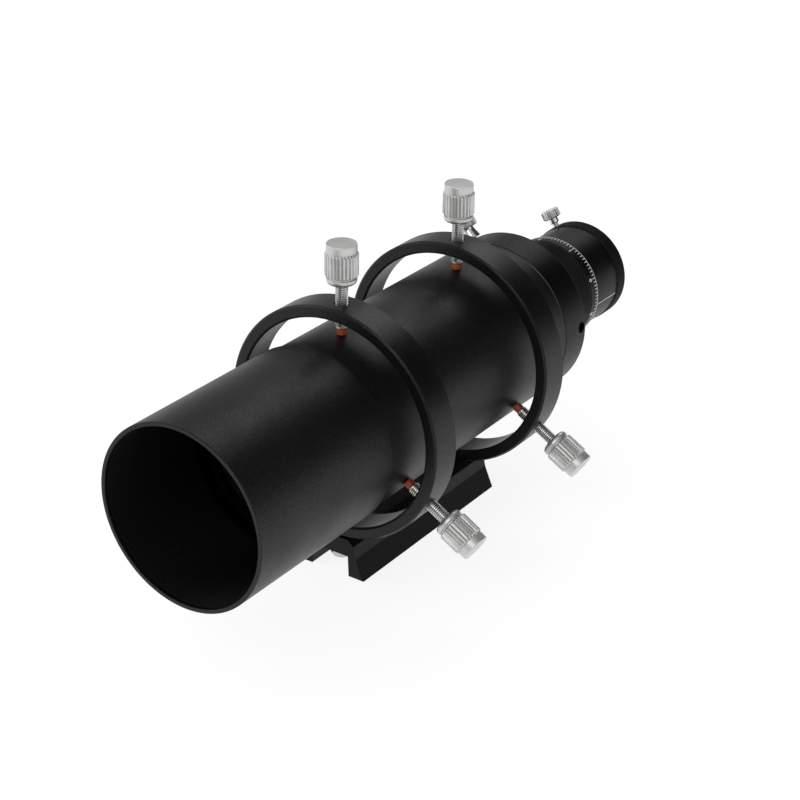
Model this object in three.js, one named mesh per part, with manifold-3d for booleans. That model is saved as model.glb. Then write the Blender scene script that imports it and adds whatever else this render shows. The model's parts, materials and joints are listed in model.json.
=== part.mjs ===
// A 60 mm finder scope: an objective tube held by six thumbscrews in two guide rings on a dovetail bar,
// with a helical focuser at the rear. Millimetres, +Z up, the optical axis along Y, the objective towards -Y.
// The origin is on the ground under the middle of the object, level with the feet of the dovetail bar.
import * as THREE from "three";
import { mergeVertices } from "three/addons/utils/BufferGeometryUtils.js";
import Module from "manifold-3d";

// Driving dimensions. A station is a distance along the optical axis behind the front rim.
const LENGTH = 291; // front rim to the rear of the eyepiece flange, focuser at rest
const AXIS_HEIGHT = 66.8; // optical axis above the feet
const GAP = 0.3; // clearance left between neighbouring pieces
const TUBE_SIDES = 40;
const INNER_SIDES = 32; // lenses, cell and baffles
const SMALL_SIDES = 16;

// Objective end
const DEW_RADIUS = 38;
const DEW_BORE = 36.1;
const DEW_END = 79.8;
const DEW_SKIRT_START = 60.5; // the rear of the dew shield is bored out to slide over the main tube
const TUBE_RADIUS = 36.75;
const TUBE_BORE = 34.75;
const TUBE_START = 61;
const LENS_RADIUS = 31;
const LENS_STATION = 56; // rim of the crown lens's front face
const CLEAR_RADIUS = 29.6; // half the clear aperture inside the cell's lips

// Guide rings and their thumbscrews
const RING_RADIUS = 50.2;
const RING_BORE = 44.9;
const RING_WIDTH = 15;
const RING_CHAMFER = 0.8;
const RING_STATIONS = { front: 99.1, rear: 181.1 }; // ring centres
const RING_FLAT = 49.3; // flat milled under each ring, below the axis
const SCREW_ANGLES = { top: 90, right: -30, left: 210 }; // degrees from +X towards +Z
const STEM_RADIUS = 2.55;
const STEM_HOLE = 2.9;
const PAD_RADIUS = 2;
const PAD_LENGTH = 2.6;
const KNOB_START = 58.6; // distance of the knob's inner end from the axis
const KNOB = { radius: 6.7, rim: 6.1, collar: 3.1, grip: 10, cap: 3.5, bore: 2.85, depth: 8 };

// Dovetail bar
const BAR = { start: 90.9, length: 98.4, top: 17.2, topHalf: 8.8, shoulder: 14.7, shoulderHalf: 11.8 };
const FLANK = { top: 9, topHalf: 12.5, footHalf: 17 };
const CHANNEL = { half: 9.2, ceiling: 9.6 };
const BOLT = { radius: 2.5, hole: 2.85, head: 4.75, headHeight: 6.2, domeHeight: 2.4, end: 45.6 };
const BOLT_KEY = { radius: 1.75, depth: 2.5, sides: 6 };

// Rear adapter and focuser
const ADAPTER = { start: 212.8, end: 230.5, radius: 36.95, spigot: 34.4, spigotStart: 200, shell: 32.2 };
const ADAPTER_PLATE = 222; // front of the adapter's solid rear plate
const CLAMP_STATION = 226.5; // the radial screws in the adapter's plate
const CLAMP_ANGLES = { lock: 124.5, right: 4.5, left: 244.5 };
const BARREL = { start: 216, end: 258, radius: 19.2, bore: 17.65, collar: 20.8, collarStart: 235.4 };
const FOCUS_RING = { start: 230.8, end: 264.3, radius: 24.2, scale: 258.4, scaleRadius: 24, lip: 23.4 };
const FOCUS_RING_FLANGE = 235; // rear of the flange that the snap ring traps
const HOLDER = { start: 247, flange: 283.6, radius: 22.9, flangeRadius: 23.4, sleeve: 19.6, web: 268 };
const DRAWTUBE = { start: 208, radius: 17.3, bore: 15.95 };
const PIN_STATION = 250;
const PIN_ANGLE = -90;
const EYEPIECE_LOCK = { station: 286.4, angle: 122 };

const ANODISED = { color: 0x17171a, roughness: 0.5, metalness: 0.6 };
const MATT_BLACK = { color: 0x0b0b0c, roughness: 0.9, metalness: 0.2 };
const SATIN_SILVER = { color: 0xc9c8c6, roughness: 0.35, metalness: 0.9 };
const STEEL = { color: 0xb4b6b8, roughness: 0.25, metalness: 1 };
const NYLON = { color: 0xb5482a, roughness: 0.5, metalness: 0 };
const BRASS = { color: 0xb08d45, roughness: 0.35, metalness: 1 };
const GLASS = { color: 0x6f8f86, roughness: 0.02, metalness: 0, transparent: true, opacity: 0.4 };

const wasm = await Module();
wasm.setup();

// A closed geometry as a solid that can be cut and joined.
function toSolid(geometry) {
  const plain = geometry.clone();
  plain.deleteAttribute("normal");
  plain.deleteAttribute("uv");
  const merged = mergeVertices(plain, 1e-4);
  const mesh = new wasm.Mesh({
    numProp: 3,
    vertProperties: merged.attributes.position.array,
    triVerts: new Uint32Array(merged.index.array),
  });
  return new wasm.Manifold(mesh);
}

function toGeometry(solid) {
  const mesh = solid.getMesh();
  const geometry = new THREE.BufferGeometry();
  geometry.setAttribute("position", new THREE.BufferAttribute(mesh.vertProperties, 3));
  geometry.setIndex(new THREE.BufferAttribute(mesh.triVerts, 1));
  geometry.computeVertexNormals();
  return geometry;
}

// Take several closed geometries away from one.
function cut(geometry, tools) {
  let solid = toSolid(geometry);
  for (const tool of tools) solid = solid.subtract(toSolid(tool));
  return toGeometry(solid);
}

// A turned piece: corners are [radius, station], listed so that the outside is on their right.
function turned(corners, sides = TUBE_SIDES) {
  const points = corners.map(([radius, station]) => new THREE.Vector2(radius, station));
  return new THREE.LatheGeometry(points, sides);
}

// A tube or disc with its profile closed on itself.
function turnedRing(corners, sides = TUBE_SIDES) {
  return turned([...corners, corners[0]], sides);
}

function radialDirection(degrees) {
  const angle = THREE.MathUtils.degToRad(degrees);
  return new THREE.Vector3(Math.cos(angle), 0, Math.sin(angle));
}

// Turn a piece made along +Y so that it points out from the axis, at a station.
function pointOut(object, degrees, station) {
  const up = new THREE.Vector3(0, 1, 0);
  const turn = new THREE.Quaternion().setFromUnitVectors(up, radialDirection(degrees));
  if (object.isBufferGeometry) return object.applyQuaternion(turn).translate(0, station, 0);
  object.quaternion.copy(turn);
  object.position.set(0, station, 0);
  return object;
}

// The cylinder that drills a radial hole from one distance to another.
function radialDrill(radius, from, to, degrees, station) {
  const drill = new THREE.CylinderGeometry(radius, radius, to - from, SMALL_SIDES);
  drill.translate(0, (from + to) / 2, 0);
  return pointOut(drill, degrees, station);
}

const group = new THREE.Group();
const scope = new THREE.Group(); // its own Y is the station, its origin the middle of the front rim
scope.position.set(0, -LENGTH / 2, AXIS_HEIGHT);
group.add(scope);

function addPiece(parent, name, geometry, look) {
  const mesh = new THREE.Mesh(geometry, new THREE.MeshStandardMaterial(look));
  mesh.name = name;
  parent.add(mesh);
  return mesh;
}

// ---- Objective end ----

function dewShield() {
  const skirt = TUBE_RADIUS + GAP;
  return turnedRing([
    [DEW_RADIUS, DEW_END],
    [skirt, DEW_END],
    [skirt, DEW_SKIRT_START],
    [DEW_BORE, DEW_SKIRT_START],
    [DEW_BORE, 0.5],
    [DEW_BORE + 0.5, 0],
    [DEW_RADIUS - 0.5, 0],
    [DEW_RADIUS, 0.5],
  ]);
}

function mainTube() {
  const end = ADAPTER.start - GAP;
  return turnedRing([
    [TUBE_RADIUS, end],
    [TUBE_BORE, end],
    [TUBE_BORE, TUBE_START],
    [TUBE_RADIUS, TUBE_START],
  ]);
}

const CROWN_EDGE = 3; // edge thickness
const FLINT_EDGE = 7;
const SPACER = 0.8;
const CURVES = { front: 150, inner: 112, rear: 520 }; // radii of curvature
const LENS_RINGS = 3; // facets from the edge to the middle of a lens face

// Height of a spherical face above its rim at a distance from the axis.
function dome(curve, distance) {
  const rim = Math.sqrt(curve * curve - LENS_RADIUS * LENS_RADIUS);
  return Math.sqrt(curve * curve - distance * distance) - rim;
}

function lensFace(curve, rimStation, direction) {
  const corners = [];
  for (let i = 0; i <= LENS_RINGS; i++) {
    const distance = (LENS_RADIUS * i) / LENS_RINGS;
    corners.push([distance, rimStation + direction * dome(curve, distance)]);
  }
  return corners;
}

// Both faces run from the axis to the rim; the rear one is walked back to the axis.
function lens(frontFace, rearFace) {
  return turned([...frontFace, ...rearFace.reverse()], INNER_SIDES);
}

const crownRear = LENS_STATION + CROWN_EDGE;
const flintFront = crownRear + SPACER + GAP * 2;
const flintRear = flintFront + FLINT_EDGE;

// The inner faces are parted by the spacer, so the flint's hollow follows the crown's bulge.
function crownLens() {
  return lens(lensFace(CURVES.front, LENS_STATION, -1), lensFace(CURVES.inner, crownRear, 1));
}

function flintLens() {
  return lens(lensFace(CURVES.inner, flintFront, 1), lensFace(CURVES.rear, flintRear, 1));
}

function lensSpacer() {
  return turnedRing([
    [LENS_RADIUS, crownRear + GAP + SPACER],
    [CLEAR_RADIUS + 0.4, crownRear + GAP + SPACER],
    [CLEAR_RADIUS + 0.4, crownRear + GAP],
    [LENS_RADIUS, crownRear + GAP],
  ], INNER_SIDES);
}

function objectiveCell() {
  const bore = LENS_RADIUS + GAP;
  const seat = flintRear + GAP;
  const body = TUBE_BORE - 0.35;
  return turnedRing([
    [body, seat + 3],
    [CLEAR_RADIUS, seat + 3],
    [CLEAR_RADIUS, seat],
    [bore, seat],
    [bore, LENS_STATION - 5],
    [DEW_BORE - GAP, LENS_STATION - 5],
    [DEW_BORE - GAP, TUBE_START - 1],
    [body, TUBE_START - 1],
  ], INNER_SIDES);
}

function lensRetainingRing() {
  const rear = LENS_STATION - GAP;
  return turnedRing([
    [LENS_RADIUS, rear],
    [CLEAR_RADIUS + 0.2, rear],
    [CLEAR_RADIUS - 0.2, rear - 3.5],
    [LENS_RADIUS, rear - 3.5],
  ], INNER_SIDES);
}

const BAFFLES = { front_baffle: [112, 25.5], rear_baffle: [156, 20.5] }; // station, opening radius

// A disc with a rim that grips the tube and a knife edge round the light path.
function baffle(station, opening) {
  const outer = TUBE_BORE - 0.35;
  return turnedRing([
    [outer, station + 5],
    [outer - 1.2, station + 5],
    [outer - 1.2, station + 1],
    [opening, station + 0.4],
    [opening, station],
    [outer, station],
  ], INNER_SIDES);
}

addPiece(scope, "dew_shield", dewShield(), ANODISED);
addPiece(scope, "main_tube", mainTube(), ANODISED);
addPiece(scope, "objective_cell", objectiveCell(), MATT_BLACK);
addPiece(scope, "lens_retaining_ring", lensRetainingRing(), MATT_BLACK);
addPiece(scope, "crown_lens", crownLens(), GLASS);
addPiece(scope, "lens_spacer", lensSpacer(), MATT_BLACK);
addPiece(scope, "flint_lens", flintLens(), GLASS);
for (const [name, [station, opening]] of Object.entries(BAFFLES))
  addPiece(scope, name, baffle(station, opening), MATT_BLACK);

// ---- Dovetail bar ----

// The extrusion runs from a start station for a length, with its section's y as height above the feet.
function alongAxis(section, start, length) {
  const bar = new THREE.ExtrudeGeometry(section, { depth: length, bevelEnabled: false });
  return bar.rotateX(Math.PI / 2).translate(0, start + length - LENGTH / 2, 0);
}

function dovetailBar() {
  const half = [
    [BAR.topHalf, BAR.top],
    [BAR.shoulderHalf, BAR.shoulder],
    [FLANK.topHalf, FLANK.top],
    [FLANK.footHalf, 0],
    [CHANNEL.half, 0],
    [CHANNEL.half, CHANNEL.ceiling],
  ];
  const mirrored = half.map(([x, z]) => [-x, z]).reverse();
  const section = new THREE.Shape([...half, ...mirrored].map(([x, z]) => new THREE.Vector2(x, z)));
  const drills = Object.values(RING_STATIONS).map((station) => {
    const drill = new THREE.CylinderGeometry(BOLT.hole, BOLT.hole, BAR.top, SMALL_SIDES);
    return drill.rotateX(Math.PI / 2).translate(0, station - LENGTH / 2, BAR.top);
  });
  return cut(alongAxis(section, BAR.start, BAR.length), drills);
}

addPiece(group, "dovetail_bar", dovetailBar(), ANODISED);

// ---- Guide rings ----

function guideRing(station) {
  const front = station - RING_WIDTH / 2;
  const rear = station + RING_WIDTH / 2;
  const ring = turnedRing([
    [RING_RADIUS, rear - RING_CHAMFER],
    [RING_RADIUS - RING_CHAMFER, rear],
    [RING_BORE + RING_CHAMFER, rear],
    [RING_BORE, rear - RING_CHAMFER],
    [RING_BORE, front + RING_CHAMFER],
    [RING_BORE + RING_CHAMFER, front],
    [RING_RADIUS - RING_CHAMFER, front],
    [RING_RADIUS, front + RING_CHAMFER],
  ]);
  const flatCutter = new THREE.BoxGeometry(60, RING_WIDTH + 2, 4);
  flatCutter.translate(0, station, -RING_FLAT - 2);
  const past = RING_RADIUS + 2;
  const tools = [flatCutter, radialDrill(BOLT.hole, RING_BORE - 2, past, -90, station)];
  for (const degrees of Object.values(SCREW_ANGLES))
    tools.push(radialDrill(STEM_HOLE, RING_BORE - 2, past, degrees, station));
  return cut(ring, tools);
}

// A button-head bolt up through the bar into the ring, made along +Y from the axis outwards.
function ringBolt() {
  const seat = AXIS_HEIGHT - CHANNEL.ceiling + GAP;
  const headEnd = seat + BOLT.headHeight;
  const bolt = turned(
    [
      [0, BOLT.end],
      [BOLT.radius, BOLT.end],
      [BOLT.radius, seat],
      [BOLT.head, seat],
      [BOLT.head, headEnd - BOLT.domeHeight],
      [BOLT.head - 1, headEnd - 0.7],
      [BOLT.head - 2.4, headEnd],
      [0, headEnd],
    ],
    SMALL_SIDES,
  );
  const key = BOLT_KEY;
  const socket = new THREE.CylinderGeometry(key.radius, key.radius, 2 * key.depth, key.sides);
  socket.translate(0, headEnd, 0);
  return cut(bolt, [socket]);
}

for (const [end, station] of Object.entries(RING_STATIONS)) {
  addPiece(scope, end + "_ring", guideRing(station), ANODISED);
  const bolt = addPiece(scope, end + "_ring_bolt", ringBolt(), STEEL);
  pointOut(bolt, -90, station);
}

// ---- Thumbscrews that hold the tube in the rings, each made along +Y from the axis outwards ----

function knob() {
  const capStart = KNOB_START + KNOB.collar + KNOB.grip;
  const capEnd = capStart + KNOB.cap;
  const boreEnd = KNOB_START + KNOB.depth;
  return turned(
    [
      [0, boreEnd],
      [KNOB.bore, boreEnd],
      [KNOB.bore, KNOB_START],
      [KNOB.rim - 1.6, KNOB_START],
      [KNOB.rim - 0.5, KNOB_START + 0.5],
      [KNOB.rim, KNOB_START + 1.6],
      [KNOB.rim, KNOB_START + KNOB.collar],
      [KNOB.radius, KNOB_START + KNOB.collar],
      [KNOB.radius, capStart],
      [KNOB.rim, capStart],
      [KNOB.rim, capEnd - 0.4],
      [KNOB.rim - 0.4, capEnd],
      [0, capEnd],
    ],
    SMALL_SIDES,
  );
}

function rod(radius, from, to) {
  return new THREE.CylinderGeometry(radius, radius, to - from, SMALL_SIDES).translate(0, (from + to) / 2, 0);
}

const padStart = TUBE_RADIUS + GAP;
const stemStart = padStart + PAD_LENGTH + GAP;
const stemEnd = KNOB_START + KNOB.depth - GAP;

for (const [end, station] of Object.entries(RING_STATIONS))
  for (const [side, degrees] of Object.entries(SCREW_ANGLES)) {
    const screw = new THREE.Group();
    pointOut(screw, degrees, station);
    scope.add(screw);
    const name = end + "_" + side;
    addPiece(screw, name + "_pad", rod(PAD_RADIUS, padStart, padStart + PAD_LENGTH), NYLON);
    addPiece(screw, name + "_stem", rod(STEM_RADIUS, stemStart, stemEnd), STEEL);
    addPiece(screw, name + "_knob", knob(), SATIN_SILVER);
  }

// ---- Rear adapter ----

const CLAMP_HOLE = 2.35;
const CLAMP_THREAD = 2;

function rearAdapter() {
  const adapter = turnedRing([
    [ADAPTER.radius, ADAPTER.end - 1.2],
    [ADAPTER.radius - 1.2, ADAPTER.end],
    [BARREL.radius + GAP, ADAPTER.end],
    [BARREL.radius + GAP, ADAPTER_PLATE],
    [ADAPTER.shell, ADAPTER_PLATE],
    [ADAPTER.shell, ADAPTER.spigotStart],
    [ADAPTER.spigot, ADAPTER.spigotStart],
    [ADAPTER.spigot, ADAPTER.start],
    [ADAPTER.radius - 0.5, ADAPTER.start],
    [ADAPTER.radius, ADAPTER.start + 0.5],
  ]);
  const drills = Object.values(CLAMP_ANGLES).map((degrees) =>
    radialDrill(CLAMP_HOLE, BARREL.radius - 1, ADAPTER.radius + 2, degrees, CLAMP_STATION),
  );
  return cut(adapter, drills);
}

addPiece(scope, "rear_adapter", rearAdapter(), ANODISED);
for (const side of ["right", "left"]) {
  const tip = BARREL.radius + GAP;
  const setScrew = addPiece(scope, "barrel_set_screw_" + side, rod(CLAMP_THREAD, tip, tip + 8), STEEL);
  pointOut(setScrew, CLAMP_ANGLES[side], CLAMP_STATION);
}

// ---- Focuser ----

// The fixed barrel, slotted for the guide pin and drilled for the focus lock.
function focuserBarrel() {
  const barrel = turnedRing([
    [BARREL.radius, BARREL.end],
    [BARREL.bore, BARREL.end],
    [BARREL.bore, BARREL.start],
    [BARREL.radius, BARREL.start],
  ]);
  const slot = new THREE.BoxGeometry(3.6, 20, 6);
  slot.translate(0, BARREL.end - 19 + 10, -BARREL.bore - 1);
  const lockHole = radialDrill(CLAMP_THREAD, BARREL.bore - 2, BARREL.radius + 2, CLAMP_ANGLES.lock, CLAMP_STATION);
  return cut(barrel, [slot, lockHole]);
}

// The snap ring that keeps the focus ring against the adapter; it is open where the guide pin passes.
function focusRingClip() {
  const clip = turnedRing([
    [BARREL.collar, BARREL.collarStart + 1],
    [BARREL.radius + GAP, BARREL.collarStart + 1],
    [BARREL.radius + GAP, BARREL.collarStart],
    [BARREL.collar, BARREL.collarStart],
  ], INNER_SIDES);
  const mouth = new THREE.BoxGeometry(5, 4, 8);
  mouth.translate(0, BARREL.collarStart, -BARREL.radius);
  return cut(clip, [mouth]);
}

function focusRing() {
  const bore = HOLDER.radius + GAP;
  return turnedRing([
    [FOCUS_RING.scaleRadius, FOCUS_RING.end - 0.4],
    [FOCUS_RING.lip + 0.2, FOCUS_RING.end],
    [bore, FOCUS_RING.end],
    [bore, FOCUS_RING_FLANGE],
    [BARREL.radius + GAP, FOCUS_RING_FLANGE],
    [BARREL.radius + GAP, FOCUS_RING.start],
    [FOCUS_RING.radius - 0.6, FOCUS_RING.start],
    [FOCUS_RING.radius, FOCUS_RING.start + 0.6],
    [FOCUS_RING.radius, FOCUS_RING.scale],
    [FOCUS_RING.scaleRadius, FOCUS_RING.scale],
  ]);
}

const SQUEEZE = { start: 284.4, end: 288.4, depth: 17.5 }; // groove for the compression ring

// The drawtube and the eyepiece socket are one piece: it slides on the barrel and does not turn.
function eyepieceHolder() {
  const holder = turnedRing([
    [HOLDER.flangeRadius, LENGTH - 0.5],
    [HOLDER.flangeRadius - 0.5, LENGTH],
    [DRAWTUBE.bore + 0.6, LENGTH],
    [DRAWTUBE.bore, LENGTH - 0.6],
    [DRAWTUBE.bore, SQUEEZE.end],
    [SQUEEZE.depth, SQUEEZE.end],
    [SQUEEZE.depth, SQUEEZE.start],
    [DRAWTUBE.bore, SQUEEZE.start],
    [DRAWTUBE.bore, DRAWTUBE.start],
    [DRAWTUBE.radius, DRAWTUBE.start],
    [DRAWTUBE.radius, HOLDER.web],
    [HOLDER.sleeve, HOLDER.web],
    [HOLDER.sleeve, HOLDER.start],
    [HOLDER.radius, HOLDER.start],
    [HOLDER.radius, HOLDER.flange],
    [HOLDER.flangeRadius, HOLDER.flange + 0.4],
  ]);
  const pinHole = radialDrill(1.7, HOLDER.sleeve - 1, HOLDER.radius + 1, PIN_ANGLE, PIN_STATION);
  const { station, angle } = EYEPIECE_LOCK;
  const lockHole = radialDrill(1.8, SQUEEZE.depth - 0.6, HOLDER.flangeRadius + 1, angle, station);
  return cut(holder, [pinHole, lockHole]);
}

function compressionRing() {
  const ring = turnedRing([
    [SQUEEZE.depth - GAP, SQUEEZE.end - GAP],
    [DRAWTUBE.bore + 0.25, SQUEEZE.end - GAP],
    [DRAWTUBE.bore + 0.25, SQUEEZE.start + GAP],
    [SQUEEZE.depth - GAP, SQUEEZE.start + GAP],
  ], INNER_SIDES);
  const split = new THREE.BoxGeometry(1.5, 8, 6);
  split.translate(0, SQUEEZE.start + 2, -SQUEEZE.depth);
  return cut(ring, [split]);
}

addPiece(scope, "focuser_barrel", focuserBarrel(), MATT_BLACK);
addPiece(scope, "focus_ring_clip", focusRingClip(), STEEL);
addPiece(scope, "focus_ring", focusRing(), ANODISED);
addPiece(scope, "eyepiece_holder", eyepieceHolder(), ANODISED);
addPiece(scope, "compression_ring", compressionRing(), BRASS);
const guidePin = addPiece(scope, "guide_pin", rod(1.35, BARREL.bore + GAP, HOLDER.radius - 0.2), STEEL);
pointOut(guidePin, PIN_ANGLE, PIN_STATION);

// ---- Lock screws ----

// A small thumbscrew: a thread, a neck that may be conical, and a knurled head, listed by distance.
function lockScrew({ thread, tip, seat, neck, neckTop, headStart, headEnd, head }) {
  return turned(
    [
      [0, tip],
      [thread, tip],
      [thread, seat],
      [neck, seat],
      [neckTop, headStart],
      [head - 0.4, headStart],
      [head, headStart + 0.4],
      [head, headEnd - 0.4],
      [head - 0.4, headEnd],
      [0, headEnd],
    ],
    SMALL_SIDES,
  );
}

function addLock(name, angle, station, padRadius, padFrom, shape) {
  const lock = new THREE.Group();
  pointOut(lock, angle, station);
  scope.add(lock);
  addPiece(lock, name + "_pad", rod(padRadius, padFrom, shape.tip - GAP), NYLON);
  addPiece(lock, name + "_screw", lockScrew(shape), STEEL);
}

addLock("focus_lock", CLAMP_ANGLES.lock, CLAMP_STATION, 1.6, DRAWTUBE.radius + GAP, {
  thread: CLAMP_THREAD,
  tip: DRAWTUBE.radius + 2.2,
  seat: ADAPTER.radius + 0.5,
  neck: 4.1,
  neckTop: 2.7,
  headStart: 42.6,
  headEnd: 47,
  head: 5.2,
});
addLock("eyepiece_lock", EYEPIECE_LOCK.angle, EYEPIECE_LOCK.station, 1.2, SQUEEZE.depth, {
  thread: 1.5,
  tip: SQUEEZE.depth + 1.5,
  seat: 25.1,
  neck: 2.3,
  neckTop: 2.3,
  headStart: 27.6,
  headEnd: 32,
  head: 4.4,
});

export default group;
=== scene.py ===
# %% [markdown]
# # A finder scope in its guide rings
# This notebook dresses a packed mechanical model of a small finder scope: black anodised tubes, two guide
# rings with silver thumbscrews, a dovetail bar and a helical focuser. The mechanical model gives every
# size and place, and each visible piece is rebuilt here with the fine shape that a flat-sided solid lacks.

# %% Load the frame
import json
import math

import bmesh
import bpy
from mathutils import Matrix, Vector


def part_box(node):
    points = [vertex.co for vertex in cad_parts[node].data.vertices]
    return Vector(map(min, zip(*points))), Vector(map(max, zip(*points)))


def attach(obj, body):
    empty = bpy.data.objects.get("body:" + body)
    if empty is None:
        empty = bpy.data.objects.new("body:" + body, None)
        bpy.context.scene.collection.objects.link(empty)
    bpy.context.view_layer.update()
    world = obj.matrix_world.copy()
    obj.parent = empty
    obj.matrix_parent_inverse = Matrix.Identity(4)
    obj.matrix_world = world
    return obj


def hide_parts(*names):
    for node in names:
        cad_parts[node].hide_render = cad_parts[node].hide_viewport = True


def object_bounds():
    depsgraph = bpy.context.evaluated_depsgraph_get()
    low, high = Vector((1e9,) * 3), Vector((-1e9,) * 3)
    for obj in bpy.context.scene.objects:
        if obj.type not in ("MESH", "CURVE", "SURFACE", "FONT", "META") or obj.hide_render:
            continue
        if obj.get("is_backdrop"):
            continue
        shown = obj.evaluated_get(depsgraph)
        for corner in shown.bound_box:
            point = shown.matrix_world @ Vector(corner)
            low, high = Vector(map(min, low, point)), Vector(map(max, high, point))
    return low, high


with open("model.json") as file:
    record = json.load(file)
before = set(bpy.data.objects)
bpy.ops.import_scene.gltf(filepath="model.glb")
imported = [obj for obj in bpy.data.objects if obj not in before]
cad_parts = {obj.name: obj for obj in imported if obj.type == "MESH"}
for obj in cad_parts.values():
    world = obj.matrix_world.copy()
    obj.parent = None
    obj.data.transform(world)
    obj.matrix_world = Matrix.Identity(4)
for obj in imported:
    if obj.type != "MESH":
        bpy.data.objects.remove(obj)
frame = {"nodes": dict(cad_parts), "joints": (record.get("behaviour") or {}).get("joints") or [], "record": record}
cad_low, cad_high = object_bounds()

MM = 0.001
print("CAD box in mm:", [round(v / MM, 1) for v in cad_high - cad_low])

# %% [markdown]
# ## Measuring the frame
# Everything on the scope is turned round one line, the optical axis. A station is a distance along that
# line behind the front rim. Each turned node gives its first and last station and its outer radius, so the
# numbers below come from the nodes and stay right if the mechanical model changes.

# %% Stations and radii
rim_low, rim_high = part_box("dew_shield")
AXIS = Vector(((rim_low.x + rim_high.x) / 2, rim_low.y, (rim_low.z + rim_high.z) / 2))


def span(node):
    """First station, last station and outer radius of a node turned round the optical axis."""
    low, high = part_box(node)
    return low.y - AXIS.y, high.y - AXIS.y, (high.x - low.x) / 2


for node in ("dew_shield", "main_tube", "rear_adapter", "focus_ring", "eyepiece_holder"):
    print(node, [round(v / MM, 2) for v in span(node)])

BODY_OF = {node: body for body, nodes in frame["record"]["behaviour"]["bodies"].items() for node in nodes}
JOINTS = {joint["name"]: joint for joint in frame["joints"]}

# %% [markdown]
# ## The camera
# A product photographer stands well back with a long lens so that the tube doesn't swell at the front. The
# camera's place is given: where it stands, which way it looks, and a hint of roll. It comes first so that
# every later step can be looked at through it.

# %% Camera
CAMERA_PLACE = Vector((0.3999, -0.5895, 0.4145))
CAMERA_AZIMUTH, CAMERA_ELEVATION, CAMERA_ROLL = 34.4, 26.72, 0.83  # degrees
FOCAL_LENGTH, SENSOR = 85.4, 36.0

azimuth, elevation = math.radians(CAMERA_AZIMUTH), math.radians(CAMERA_ELEVATION)
towards_camera = Vector((
    math.sin(azimuth) * math.cos(elevation),
    -math.cos(azimuth) * math.cos(elevation),
    math.sin(elevation),
))
camera_data = bpy.data.cameras.new("camera")
camera_data.lens, camera_data.sensor_width = FOCAL_LENGTH, SENSOR
camera_data.clip_start, camera_data.clip_end = 0.01, 50
camera = bpy.data.objects.new("camera", camera_data)
bpy.context.scene.collection.objects.link(camera)
level = towards_camera.to_track_quat("Z", "Y")
camera.rotation_mode = "QUATERNION"
camera.rotation_quaternion = level @ Matrix.Rotation(math.radians(CAMERA_ROLL), 3, "Z").to_quaternion()
camera.location = CAMERA_PLACE
bpy.context.scene.camera = camera
print("camera distance to the rim:", round((CAMERA_PLACE - AXIS).length, 3), "m")

# %% [markdown]
# ## Floor and light
# The object stands on a pale floor that burns out to white, since it gives off some light of its own, as a
# light table does. Four soft boxes face the scope: from beyond it and above, from the left, from above and
# behind the camera, and a weaker one from the right. Black metal shows only what it mirrors, so the
# surroundings matter more than the lamps: they are an even grey, with one dark card beyond the object, up
# and to the right. A picture of a real studio could light the scene too, but a card can be moved by hand.

# %% Floor
FLOOR_HALF, FLOOR_GAP, FLOOR_GREY, FLOOR_GLOW = 6.0, 0.0002, 0.2, 0.88

floor_mesh = bpy.data.meshes.new("floor")
floor_corners = [(x * FLOOR_HALF, y * FLOOR_HALF, cad_low.z - FLOOR_GAP)
                 for x, y in ((-1, -1), (1, -1), (1, 1), (-1, 1))]
floor_mesh.from_pydata(floor_corners, [], [(0, 1, 2, 3)])
floor = bpy.data.objects.new("floor", floor_mesh)
bpy.context.scene.collection.objects.link(floor)
light_table = bpy.data.materials.new("pale_floor")
light_table.use_nodes = True
floor_shader = light_table.node_tree.nodes["Principled BSDF"]
floor_shader.inputs["Base Color"].default_value = (FLOOR_GREY, FLOOR_GREY, FLOOR_GREY, 1)
floor_shader.inputs["Roughness"].default_value = 0.9
floor_shader.inputs["Emission Color"].default_value = (1, 1, 1, 1)
floor_shader.inputs["Emission Strength"].default_value = FLOOR_GLOW
floor_mesh.materials.append(light_table)
floor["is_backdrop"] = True
print("floor side:", 2 * FLOOR_HALF, "m")


# %% Lamps
def soft_light(name, place, size, watts):
    """A square soft box that faces the middle of the scope."""
    data = bpy.data.lights.new(name, "AREA")
    data.size, data.energy = size, watts
    lamp = bpy.data.objects.new(name, data)
    bpy.context.scene.collection.objects.link(lamp)
    lamp.location = place
    aim = Vector((0, 0, AXIS.z))
    lamp.rotation_mode = "QUATERNION"
    lamp.rotation_quaternion = (Vector(place) - aim).to_track_quat("Z", "Y")
    print(name, watts, "W")


soft_light("back_box", (-0.2, 1.15, 1.25), 0.7, 3.8)
soft_light("left_box", (-1.5, -0.9, 0.9), 1.0, 8)
soft_light("camera_box", (0.3, -1.5, 1.3), 0.9, 7)
soft_light("right_box", (1.6, 0.1, 0.85), 1.0, 2)

# %% Surroundings
DARK_CARD = Vector((0.5, 0.65, 0.5)).normalized()  # where the black card stands
CARD_EDGE, CARD_MIDDLE = 0.6, 0.88  # cosine of the angle from the card at which it begins and is full
ROOM_BRIGHT, ROOM_DARK, ROOM_STRENGTH = 0.5, 0.03, 1.0

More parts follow.
